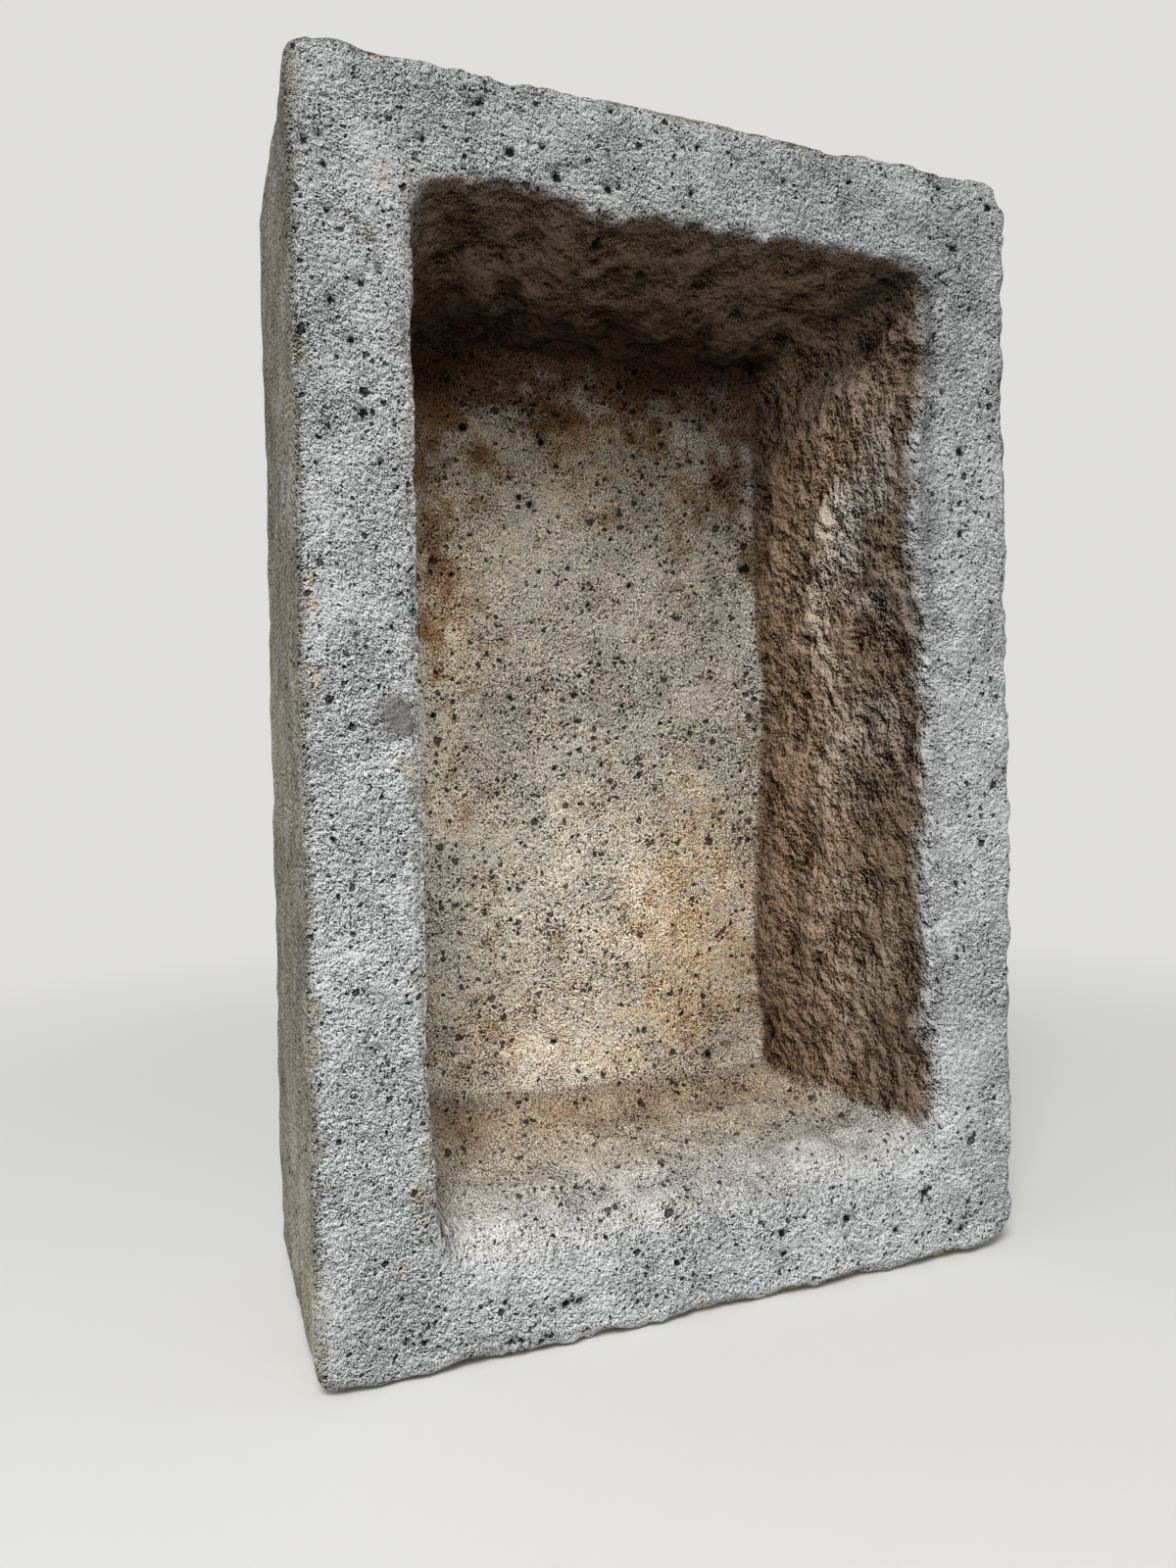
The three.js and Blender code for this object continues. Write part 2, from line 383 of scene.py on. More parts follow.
# The hewn relief, in millimetres
hewnRelief = {
    "stock": 1,  # how far below the plain shape the mean surface lies
    "turned": [[0.82, 0, 0.57], [0, 1, 0], [-0.57, 0, 0.82]],  # pecks and grit slant by 35 degrees
    # depth and noise, which is size, seed and layers
    "lump": (1.1, (34, 11, 2)),
    "peck": (1, ((13, 13, 9), 23, 2)),
    "grit": (0.7, (5, 31, 1)),
    "wallRidge": (2.2, ((11, 11, 16), 41, 3)),
    # depth, stretch and pits, which are size of a cell, smallest and largest radius, chance and seed
    "wallDents": (4.2, (1, 1, 1.7), (12, (1.6, 4.2), 0.6, 97)),
    "pits": (1.4, (1, 1, 1), (15, (1.4, 2.8), 0.45, 53)),
    # along the rim's outer edge and the lip: how much more is broken than kept, and how little on the left
    "crumble": {"depth": 2.4, "noise": (8, 61, 3), "more": 0.25, "leftShare": 0.35, "left": (-110, -80)},
    "flatFloor": 0.45,  # how much smaller pecks and grit are on the floor
    "dressing": 0.3,  # how softly the highest bumps are dressed off flat
    "leftSide": {"beyond": -160, "smoother": 0.5},
    "ridgeStart": (0, 14),  # depth behind the rim where a wall's ridges start and are full
    "smootherLeftWall": 0.5,
    "valleyHeight": {"rim": 1.8, "walls": 2.4, "wallMean": 0.6},
    # the named pores: how deep, where their edge starts as a share of the radius, and where the floor's start
    "pore": {"depth": 2.2, "edge": (-0.3, 0.6), "floorBeyond": 80, "flatEnough": 0.3},
    "touching": (0.5, 0.9),  # how far a face looks at what carries it, to rest on it
}
# x, z, reach and depth of the chips that stand out along the rim's outer edge
edgeChips = [
    (-134, 520, 6, 2.5), (-55, 520, 5, 2.2), (-6, 520, 16, 2.5), (16, 520, 5, 5), (50, 520, 7, 3.5),
    (96, 520, 6, 1.5), (121, 432, 6, 5), (170, 414, 9, 4), (170, 379, 16, 3), (170, 285, 8, 1.5),
    (170, 121, 7, 2.2), (170, 33, 10, 2.2), (-49, 0, 6, 3), (-1, 0, 7, 3.5), (36, 0, 13, 3.5), (72, 0, 13, 3),
    (120, 0, 10, 3.5), (152, 0, 7, 3.5), (-110, 0, 9, 1.5),
]
# where the hollow's outline wanders: x, z, reach along x and z, shift along x and z
wanders = [
    (120, 366, 16, 42, -6, 0), (122, 70, 16, 30, 3, 0), (-80, 473, 26, 14, 0, 5),
    (-39, 469, 9, 10, 0, -3), (60, 471, 60, 12, 0, 1.5), (90, 270, 16, 30, 3.5, 0),
    (86, 150, 18, 34, -4, 0), (-125, 70, 10, 34, 3, 0), (-20, 50, 60, 14, 0, -2.5),
]
# x, z and radius of the pores that stand out on the rim
rimPores = [
    (-163, 479, 2.4), (-157, 483, 1.9), (-144, 506, 1.5), (-102, 517, 1.6), (-94, 507, 2.4),
    (-98, 505, 1.8), (-118, 488, 2.4), (-82, 489, 2.5), (-68, 494, 1.9), (-74, 494, 1.3), (-156, 471, 1.9),
    (-166, 461, 1.8), (-155, 454, 1.7), (-143, 429, 2.7), (-154, 421, 2.3), (-147, 407, 2),
    (-143, 379, 2.7), (-160, 369, 1.9), (-156, 374, 1.7), (-62, 483, 2.8), (-39, 482, 2.8), (-38, 514, 2),
    (-137, 361, 1.6), (-136, 435, 1.6), (2, 506, 2.1), (0, 487, 2.2), (22, 505, 1.7), (36, 499, 1.7),
    (80, 505, 2.2), (45, 500, 1.7), (67, 509, 1.8), (130, 511, 2.3), (142, 504, 2.3), (135, 468, 2.3),
    (130, 470, 2.3), (139, 485, 2.8), (154, 509, 1.9), (158, 506, 2.4), (118, 455, 2.3), (124, 449, 1.8),
    (131, 416, 2.3), (140, 388, 2.8), (140, 349, 2.8), (-41, 37, 2.5), (9, 35, 3.2), (19, 35, 2.2),
    (36, 30, 2.2), (37, 20, 2), (71, 30, 2.7), (98, 20, 2.5), (115, 36, 3.3), (66, 46, 1.8),
    (-63, 39, 1.5), (-127, 15, 1.9), (-92, 8, 2.4), (-87, 7, 2), (-68, 19, 2.4), (-62, 19, 2.5),
    (-94, 25, 1.5), (137, 14, 2.1), (129, 19, 1.9), (-136, 34, 1.9),
]
floorPores = [
    (-47, 378, 2.4), (-41, 375, 2.6), (-73, 358, 2), (-55, 363, 1.8), (-34, 408, 2.8), (4, 411, 1.9),
    (-76, 411, 2.8), (-52, 388, 1.7), (-37, 341, 1.9), (-10, 325, 2.1), (14, 336, 2.3), (30, 362, 2.1),
    (23, 357, 1.9), (35, 344, 1.6), (38, 334, 1.7), (66, 356, 1.5), (-3, 362, 1.5), (3, 360, 1.5),
    (48, 383, 1.9), (-60, 313, 1.8), (-98, 308, 1.5), (-80, 284, 1.9), (-54, 277, 1.9), (-68, 275, 1.6),
    (-19, 278, 2.2), (-16, 288, 2.1), (8, 273, 1.9), (-4, 300, 1.5), (16, 307, 1.7), (26, 315, 1.8),
    (-94, 268, 1.8), (-58, 269, 1.4), (-44, 269, 1.7), (-19, 257, 1.7), (-77, 252, 2), (-4, 242, 2.1),
    (54, 239, 2.1), (73, 234, 1.5), (78, 237, 1.8), (56, 288, 1.5), (76, 284, 1.7), (31, 250, 1.6),
    (-41, 315, 1.6), (-83, 338, 1.8), (82, 348, 3.6), (-48, 76, 3), (55, 83, 3.4), (-34, 99, 2.2),
]


def latticeValue(cells, seed):
    # A number from 0 to 1 for each whole-numbered cell, shuffled from its place and the seed
    mixed = (cells[:, 0] * 73856093) ^ (cells[:, 1] * 19349663) ^ (cells[:, 2] * 83492791)
    mixed = (mixed ^ (seed * 2654435761)) & 0xFFFFFFFF
    for _ in range(2):
        mixed = ((mixed ^ (mixed >> 16)) * 0x45D9F3B) & 0xFFFFFFFF
    return ((mixed ^ (mixed >> 16)) & 0xFFFFFF) / 0xFFFFFF


def smoothNoise(points, size, seed):
    # Values at the corners of cells, blended by the curve 6t^5 - 15t^4 + 10t^3, from -1 to 1
    scaled = points / size
    low = np.floor(scaled)
    blend = scaled - low
    blend = blend ** 3 * (blend * (blend * 6 - 15) + 10)
    low = low.astype(np.int64)
    total = np.zeros(len(points))
    for corner in itertools.product((0, 1), repeat=3):
        weight = np.where(corner, blend, 1 - blend).prod(axis=1)
        total += weight * latticeValue(low + corner, seed)
    return total * 2 - 1


def layeredNoise(points, size, seed, layers=3):
    # Each layer is half the size and half the height of the one before
    size = np.array(size, float)
    return sum(smoothNoise(points, size / 2 ** layer, seed + layer) / 2 ** layer for layer in range(layers))


def pitField(points, size, radii, chance, seed):
    # Each cell may hold a round pit at a place of its own: 1 - (distance / radius)^2, and the deepest counts
    scaled = points / size
    low = np.floor(scaled).astype(np.int64)
    deepest = np.zeros(len(points))
    for offset in itertools.product((-1, 0, 1), repeat=3):
        cells = low + offset
        place = cells + np.stack([latticeValue(cells, seed + n) for n in range(3)], axis=1)
        radius = radii[0] + (radii[1] - radii[0]) * latticeValue(cells, seed + 3) ** 2
        held = latticeValue(cells, seed + 4) < chance
        distance = np.linalg.norm((place - scaled) * size, axis=1)
        deepest = np.maximum(deepest, np.where(held, 1 - (distance / radius) ** 2, 0))
    return deepest


def ease(low, high, values):
    # 0 below low, 1 above high, and 3t^2 - 2t^3 between them
    t = np.clip((values - low) / (high - low), 0, 1)
    return t * t * (3 - 2 * t)


def easedSum(places, least, *terms):
    # The least value, and for each term amount * the ease of the named places from start to full
    return least + sum(amount * ease(start, full, places[name]) for amount, name, start, full in terms)


def poreField(points, pores):
    # 1 - distance / radius to the nearest named pore: 1 at its middle, 0 at its edge and -2 away from it
    nearest = np.full(len(points), -2.0)
    for x, z, radius in pores:
        distance = np.hypot(points[:, 0] - x, points[:, 2] - z)
        nearest = np.maximum(nearest, 1 - distance / radius)
    return nearest


def bell(points, x, z, reachX, reachZ):
    # exp(-(dx / reachX)^2 - (dz / reachZ)^2): 1 at the place that is named, and fading round it
    return np.exp(-((points[:, 0] - x) / reachX) ** 2 - ((points[:, 2] - z) / reachZ) ** 2)


def wandered(points, shifts):
    # Each place is moved along x and z by shift * bell, added up
    moved = points.copy()
    for x, z, reachX, reachZ, shiftX, shiftZ in shifts:
        share = bell(points, x, z, reachX, reachZ)
        moved[:, 0] += share * shiftX
        moved[:, 2] += share * shiftZ
    return moved


def chipField(points, chips):
    # The deepest of depth * bell over the named chips
    deepest = np.zeros(len(points))
    for x, z, reach, depth in chips:
        deepest = np.maximum(deepest, depth * bell(points, x, z, reach, reach))
    return deepest


# how far a face has to look one way to count as a part's, from not at all to fully
partLimits = {
    "front": (0.75, 0.95), "wall": (0.5, 0.8), "outside": (0.4, 0.95), "sideways": (0.85, 1.0),
    "edgeDepth": (30, 12),  # millimetres behind the rim
}


def regionsOf(points, normals, inside, block, hollow, limits):
    # How much each place belongs to the rim, the floor, each wall and the outside, from its normal
    depth = points[:, 1] + block["depth"] / 2
    within = inside.astype(float)
    facing = ease(*limits["front"], -normals[:, 1])
    towards = {"right": -normals[:, 0], "left": normals[:, 0], "top": -normals[:, 2], "bottom": normals[:, 2]}
    sideways = np.hypot(normals[:, 0], normals[:, 2])
    behind = ease(*limits["outside"], np.maximum(normals[:, 1], -normals[:, 0]))
    return {
        "depth": depth,
        # an edge is where the stone faces forwards and sideways at once, 1 where it does so equally
        "edge": 2 * np.clip(-normals[:, 1], 0, 1) * sideways * ease(*limits["edgeDepth"], depth),
        "rim": facing * (depth < hollow["depth"] / 2),
        "floor": facing * (depth > hollow["depth"] / 2),
        "wall": {key: within * ease(*limits["wall"], share) for key, share in towards.items()},
        "outside": (1 - within) * np.maximum(behind, ease(*limits["sideways"], sideways)),
    }


def pitsOf(points, depth, stretch, pits):
    # Pits drawn out along each axis by stretch, times their depth
    return pitField(points / stretch, *pits) * depth


def hewnDepth(points, regions, facts, chips):
    # How far the surface is cut in: lumps, pecks and grit added up, ridges along the walls, and pits on top.
    # The second list is about 1 in the valleys and -1 on the crests.
    turned = points @ np.array(facts["turned"])
    bumps = {"lump": points, "peck": turned, "grit": turned, "wallRidge": points}
    lump, peck, grit, ridge = (
        layeredNoise(places, *facts[key][1]) * facts[key][0] for key, places in bumps.items())
    ridge = ridge + pitsOf(points, *facts["wallDents"])
    pitCut = pitsOf(points, *facts["pits"])
    walls = np.clip(sum(regions["wall"].values()), 0, 1)
    height = 1 - facts["flatFloor"] * regions["floor"]
    cut = (lump + height * peck + height * grit) * (1 - walls) + facts["stock"]

    # edges crumble by noise and by the named chips
    crumble = facts["crumble"]
    broken = np.clip(layeredNoise(points, *crumble["noise"]) + crumble["more"], 0, 2) * crumble["depth"]
    least = crumble["leftShare"]
    broken = broken * (least + (1 - least) * ease(*crumble["left"], points[:, 0]))
    broken = (broken + chipField(points, chips)) * regions["edge"]

    # the highest bumps are dressed off flat: (cut + the root of cut^2 + dressing^2) / 2 never falls below 0
    dressed = (cut + np.sqrt(cut ** 2 + facts["dressing"] ** 2)) / 2
    left = facts["leftSide"]
    dressed = dressed * (1 - left["smoother"] * regions["outside"] * (points[:, 0] < left["beyond"]))
    ridge = ridge * ease(*facts["ridgeStart"], regions["depth"])
    ridge = ridge * (1 - facts["smootherLeftWall"] * regions["wall"]["left"])
    high = facts["valleyHeight"]
    valley = (lump + peck) / high["rim"] * (1 - walls) + (ridge - high["wallMean"]) / high["walls"] * walls
    return dressed * (1 - walls) + (lump + ridge + grit) * walls + pitCut + broken, valley


def patchField(points, patches):
    # Soft oval patches: strength * bell, added up
    return sum(strength * bell(points, *place) for *place, strength in patches)


# Where the stone is stained. Patches are x, z, reach along x and z, and strength. A pair is where something
# starts and where it is full, in millimetres.
stainMap = {
    # size in millimetres, seed and layers of the noises that make edges ragged
    "ragged": (22, 71, 3),
    "fine": (7, 83, 2),
    # behind the rim
    "starts": {"top": (-2, 4), "right": (-2, 14), "left": (6, 22), "bottom": (56, 104)},
    "full": {"left": 0.8, "bottom": 0.55},
    "least": {"bottom": 0.1, "floor": 0.16},
    "topRight": (400, 440),  # along z, where the right wall's stain comes further out
    "lowLeft": (40, 140),  # along z, where the left wall's stain begins
    "floorStain": [
        (-10, 462, 140, 40, 1.4), (-96, 430, 26, 40, 0.5), (80, 410, 26, 50, 0.5), (-25, 418, 16, 10, 0.35),
        (88, 250, 10, 180, 0.25), (0, 68, 150, 9, 0.6), (-80, 96, 40, 22, 0.3), (-98, 340, 18, 90, 0.6),
        (-40, 330, 30, 30, -0.12), (0, 220, 50, 40, -0.12),
    ],
    # dry grey stone along the middle of the right wall
    "wallGrey": [(0, 330, 400, 80, 0.65), (0, 150, 400, 70, 0.15)],
    "greyFrom": (10, 24), "greyUntil": (82, 46),
    # the stain above the hollow's top edge
    "spill": {"edge": 471, "height": 5, "from": (430, 460), "across": (122, 114), "breaks": (-0.2, 0.5)},
    "rimDirt": [(-138, 446, 7, 3, 0.9), (-146, 452, 5, 2.5, 0.6)],
    # the least soot and painted shade on each wall, and what is added: amount, along what, start and full. It
    # grows under the top wall and deep in the hollow's corners, where shade falls
    "sootAndShade": {"top": (0.15, (0.85, "broken", 56, 92)), "left": (0.2, (0.4, "z", 380, 470)), "bottom": (0,),
             "right": (0, (0.7, "z", 410, 475), (0.35, "depth", 84, 104))},
    "lowRightSootAndShade": {"share": 0.25, "z": (240, 100), "depth": (50, 90)},
    # the floor's soot patches lie along the top wall: soot and painted shade below it
    "floorSootAndShade": [(-98, 440, 20, 24, 1), (-20, 458, 110, 18, 1.1), (50, 448, 50, 18, 0.7)],
    "floorSootAndShadeLess": 0.08,
    "floorTan": [
        (-10, 430, 130, 60, 0.5), (58, 150, 44, 62, 0.65), (30, 110, 60, 30, 0.45), (-25, 413, 13, 8, 0.7),
        (66, 390, 26, 14, 0.45), (-88, 320, 16, 70, 0.5), (44, 215, 22, 16, 0.4), (40, 180, 10, 10, 0.5),
        (-70, 100, 30, 30, 0.3),
    ],
    "floorTanLeast": 0.16,
    "bottomTan": (0.2, (0.45, "broken", 45, 95)),
    "rust": [
        (-164, 306, 1.8, 2.6, 0.6), (-165, 315, 1.6, 2, 0.5), (-164, 279, 2.2, 1.8, 0.6),
        (-164, 273, 2, 1.8, 0.6), (-133, 470, 2, 2.6, 0.6), (-136, 46, 2, 2.2, 0.6), (-130, 75, 1.5, 3, 1.2),
    ],
    "rustMean": 1.3,
    "smudge": {"at": (-131, 262), "half": (7, 8), "fade": (3, -4)},
}
# A factor on the stone's colour. In patches, more than 0 is paler.
paleMap = {
    "rimStops": ([0, 60, 260, 430, 500], [1.28, 1.16, 1.06, 0.84, 0.78]),  # heights and values, darker towards the top
    "rim": [
        (-134, 248, 9, 7, 0.18), (-150, 165, 12, 14, 0.08), (120, 45, 40, 30, 0.05),
        (-152, 18, 26, 22, -0.2), (-110, 22, 50, 26, -0.12),
    ],
    # the rim beside the right lip is painted darker, as shade where the lip rolls down into the hollow
    "paintedLipShade": {"darker": 0.5, "x": (131, 119), "from": (90, 100)},
    "leftEdge": {"darker": 0.35, "beyond": -140},
    "floorMean": 1.03,
    "floor": [
        # the long patch along the left wall is painted light, against the shade that the wall casts on the
        # floor
        (-33, 350, 90, 60, 0.35), (-15, 170, 90, 70, 1.1), (-100, 270, 24, 110, 1.5), (-60, 90, 80, 34, 1.1),
        (-18, 290, 6, 5, 0.6), (-77, 62, 5, 4, 0.8), (-70, 97, 60, 2.2, 0.5), (-75, 79, 50, 2.2, 0.6),
        (-60, 88, 36, 3, -0.25), (40, 80, 50, 2, 0.35),
    ],
    "bottomWall": (1.25, (0.3, "x", 60, -60)),
    "rightWall": (0, (0.2, "z", 60, 180), (0.25, "z", 340, 430)),
    # the top wall, which faces down, is painted darker as shade
    "topWallShade": -0.15,
    "outside": (0.08, (-0.14, "z", 120, 420)),
    # blotches on the outside: size, seed and layers of two noises
    "blotches": ((9, 7, 9), 103, 1), "blotchShare": 0.3,
    "broad": (60, 107, 2), "broadShare": 0.6,
}
# where the rim is beside the hollow and not above or below it, along z and behind the rim
hollowSide = {"above": (50, 75), "below": (480, 462), "depth": (60, 30)}
# dirt that has crept round the rim's left edge and out of the hollow on the left
grimeMap = {"edgeX": -170, "edge": (6, 0), "hollowX": -124, "hollow": (5, 1), "hollowShare": 0.7}


def besideHollow(points, depth, facts):
    # Three eases multiplied: above the hollow's bottom, below its top, and near the rim's face
    z = points[:, 2]
    share = ease(*facts["above"], z) * ease(*facts["below"], z)
    return share * ease(*facts["depth"], depth)


def stainMasks(points, regions, inside, ragged, fine, facts):
    # Stain, and soot with painted shade, are each wall's own formula, weighted by how much of that wall a
    # place is. The noises are added to a depth or a place, so their factors are millimetres.
    x, z = points[:, 0], points[:, 2]
    depth, wall, rim = regions["depth"], regions["wall"], regions["rim"]
    floor = regions["floor"] * inside
    weights = {**wall, "floor": floor}
    total = np.maximum(sum(weights.values()), 1e-6)
    starts, full, least = facts["starts"], facts["full"], facts["least"]

    def onEach(values):
        # The mean of the walls' values, each weighted by its wall
        return sum(weights[key] * values[key] for key in weights) / total * inside

    grey = ease(*facts["greyFrom"], depth) * ease(*facts["greyUntil"], depth)
    grey = grey * np.clip(patchField(points, facts["wallGrey"]), 0, 1) * ease(-1, 1, ragged)
    rightDepth = depth + 4 * ease(*facts["topRight"], z) + 3 * ragged + 2 * fine
    leftStain = full["left"] * ease(*starts["left"], depth + 4 * ragged)
    bottomStain = full["bottom"] * ease(*starts["bottom"], depth + 12 * ragged)
    floorStain = least["floor"] + patchField(points, facts["floorStain"]) + 0.3 * ragged + 0.35 * fine
    stain = onEach({
        # the top wall is stained from its lip on, dark partly for its stain and partly as painted shade under
        # the overhang
        "top": ease(*starts["top"], depth + 3 * fine),
        "right": ease(*starts["right"], rightDepth) * (1 - grey),
        "left": leftStain * ease(*facts["lowLeft"], z),
        "bottom": bottomStain + least["bottom"],
        "floor": np.clip(floorStain, 0, 1),
    })
    spill = facts["spill"]
    spilt = rim * ease(spill["height"], 0, z - spill["edge"] + 5 * ragged + 3 * fine)
    spilt = spilt * ease(*spill["from"], z) * ease(*spill["across"], np.abs(x))
    spilt = spilt + rim * patchField(points, facts["rimDirt"])
    stain = np.maximum(stain, spilt * ease(*spill["breaks"], ragged + fine + 0.3))

    places = {"z": z, "depth": depth, "broken": depth + 8 * ragged}
    sootAndShadeByWall = {key: easedSum(places, *terms) for key, terms in facts["sootAndShade"].items()}
    low = facts["lowRightSootAndShade"]
    lowSootAndShade = low["share"] * ease(*low["z"], z) * ease(*low["depth"], depth)
    sootAndShadeByWall["right"] = np.clip(sootAndShadeByWall["right"] + lowSootAndShade, 0, 1)
    floorSootAndShade = patchField(points, facts["floorSootAndShade"]) + 0.25 * ragged - facts["floorSootAndShadeLess"]
    sootAndShadeByWall["floor"] = np.clip(floorSootAndShade, 0, 1)

    tan = (facts["floorTanLeast"] + patchField(points, facts["floorTan"])) * (1 + 0.5 * ragged + 0.3 * fine)
    tan = np.clip(tan, 0, 1) * floor + wall["bottom"] * easedSum(places, *facts["bottomTan"])
    rust = np.clip(patchField(points, facts["rust"]) * (facts["rustMean"] + fine), 0, 1) * (1 - floor)
    smudge = facts["smudge"]
    reachX = np.abs(x - smudge["at"][0]) - smudge["half"][0]
    reachZ = np.abs(z - smudge["at"][1]) - smudge["half"][1]
    smudged = ease(*smudge["fade"], np.maximum(reachX, reachZ) + 2 * fine) * rim
    return {"stain": stain, "sootAndShade": onEach(sootAndShadeByWall), "tan": tan, "rust": rust, "smudge": smudged}


def paleness(points, regions, inside, beside, ragged, fine, facts):
    # Rim, floor and bottom wall each have their own value, weighted by how much of each a place is. The other
    # walls and the outside add to it.
    x, z = points[:, 0], points[:, 2]
    places = {"x": x, "z": z}
    wall = regions["wall"]
    floor = regions["floor"] * inside
    lip, edge = facts["paintedLipShade"], facts["leftEdge"]
    # painted shade on the rim beside the right lip
    paintedLipShade = ease(*lip["x"], x + 4 * fine) * ease(*lip["from"], x) * beside
    rimPale = np.interp(z, *facts["rimStops"]) + patchField(points, facts["rim"])
    rimPale = rimPale - lip["darker"] * paintedLipShade - edge["darker"] * regions["edge"] * (x < edge["beyond"])
    floorPale = facts["floorMean"] + patchField(points, facts["floor"]) * (1 + 0.4 * ragged)
    pale = (rimPale * (1 - floor) + floorPale * floor) * (1 - wall["bottom"])
    pale = pale + easedSum(places, *facts["bottomWall"]) * wall["bottom"]
    pale = pale + wall["right"] * easedSum(places, *facts["rightWall"]) + wall["top"] * facts["topWallShade"]
    blotches = layeredNoise(points, *facts["blotches"])
    blotches = blotches + facts["broadShare"] * layeredNoise(points, *facts["broad"])
    more = facts["blotchShare"] * blotches + easedSum(places, *facts["outside"])
    return pale * (1 + regions["outside"] * more)


def weathering(points, regions, beside, ragged, fine, facts):
    # The whole outside, and grime on the rim: the larger of the two
    x = points[:, 0]
    wander = 4 * ragged + 3 * fine
    around = ease(*facts["edge"], x - facts["edgeX"] + wander)
    out = ease(*facts["hollow"], facts["hollowX"] - x + wander) * beside * (x < 0)
    grime = np.maximum(around, facts["hollowShare"] * out) * regions["rim"]
    return np.maximum(np.clip(regions["outside"] * (1 + 0.5 * ragged), 0, 1), grime)


# how strongly the painted relief shading and the finest grain show on each part
partTones = {
    "reliefShading": {"rim": 1.4, "floor": 1.1, "sides": 3.1, "top": 1.2, "outside": 3.2},
    "speckle": {"rim": 3, "floor": 9, "sides": 7, "top": 5, "outside": 5},
}
# depths behind the rim between which the hollow's own look sets in
hollowLook = {"bottom": (8, 60), "other": (4, 22)}


def byPlace(values, regions, within, upright):
    # Each part's own value, weighted by how much of that part a place is
    top, outside = regions["wall"]["top"], regions["outside"]
    plain = values["rim"] * (1 - within) + values["floor"] * within
    other = plain * np.clip(1 - upright - outside, 0, 1)
    return other + values["sides"] * (upright - top) + values["top"] * top + values["outside"] * outside


print("skin and relief formulas ready")
points, quads, triangles, inside = stoneSkin(blockShape, hollowShape, skinSteps)
points = wandered(points, wanders)
allFaces = cornersOf(quads, triangles)
normals = normalsOf(points, allFaces)
print("skin:", len(points), "points,", len(allFaces), "triangles")

regions = regionsOf(points, normals, inside, blockShape, hollowShape, partLimits)
cut, valley = hewnDepth(points, regions, hewnRelief, edgeChips)
poreFacts = hewnRelief["pore"]
onFloor = inside & (regions["depth"] > poreFacts["floorBeyond"])
pore = np.where(onFloor, poreField(points, floorPores), poreField(points, rimPores))
pore = np.where(regions["rim"] + regions["floor"] > poreFacts["flatEnough"], pore, -2)
cut = cut + poreFacts["depth"] * ease(*poreFacts["edge"], pore)
# the standing end and the underside touch what carries them at their highest points
touching = hewnRelief["touching"]
for resting in (-normals[:, 2] * ~inside, normals[:, 1]):
    cut = cut - ease(*touching, resting) * cut[resting > touching[1]].min()
carved = points - normals * cut[:, None]
half = np.array([blockShape["width"], blockShape["depth"]]) / 2
carved[:, :2] = np.clip(carved[:, :2], -half, half)

ragged = layeredNoise(points, *stainMap["ragged"])
fine = layeredNoise(points, *stainMap["fine"])
beside = besideHollow(points, regions["depth"], hollowSide)
bottomWall = regions["wall"]["bottom"]
otherLook, bottomLook = (ease(*hollowLook[key], regions["depth"]) for key in ("other", "bottom"))
within = inside * ((1 - bottomWall) * otherLook + bottomWall * bottomLook)
upright = np.clip(sum(regions["wall"].values()) - bottomWall, 0, 1)
masks = {
    **stainMasks(points, regions, inside, ragged, fine, stainMap),
    "pale": paleness(points, regions, inside, beside, ragged, fine, paleMap),
    "weather": weathering(points, regions, beside, ragged, fine, grimeMap),
    "pore": pore,
    "valley": valley,
    "within": within,
    "upright": upright,
    **{key: byPlace(values, regions, within, upright) for key, values in partTones.items()},
}
print("relief cut and stains placed:", sorted(masks))


def addStone(name, points, quads, triangles, masks):
    # The skin in metres, with each mask as a value at every point
    mesh = bpy.data.meshes.new(name)
    mesh.from_pydata((points * mm).tolist(), [], quads.tolist() + triangles.tolist())
    for key, values in masks.items():
        attribute = mesh.attributes.new(key, "FLOAT", "POINT")
        attribute.data.foreach_set("value", values.astype(np.float32))
    mesh.shade_smooth()
    piece = bpy.data.objects.new(name, mesh)
    scene.collection.objects.link(piece)
    return piece


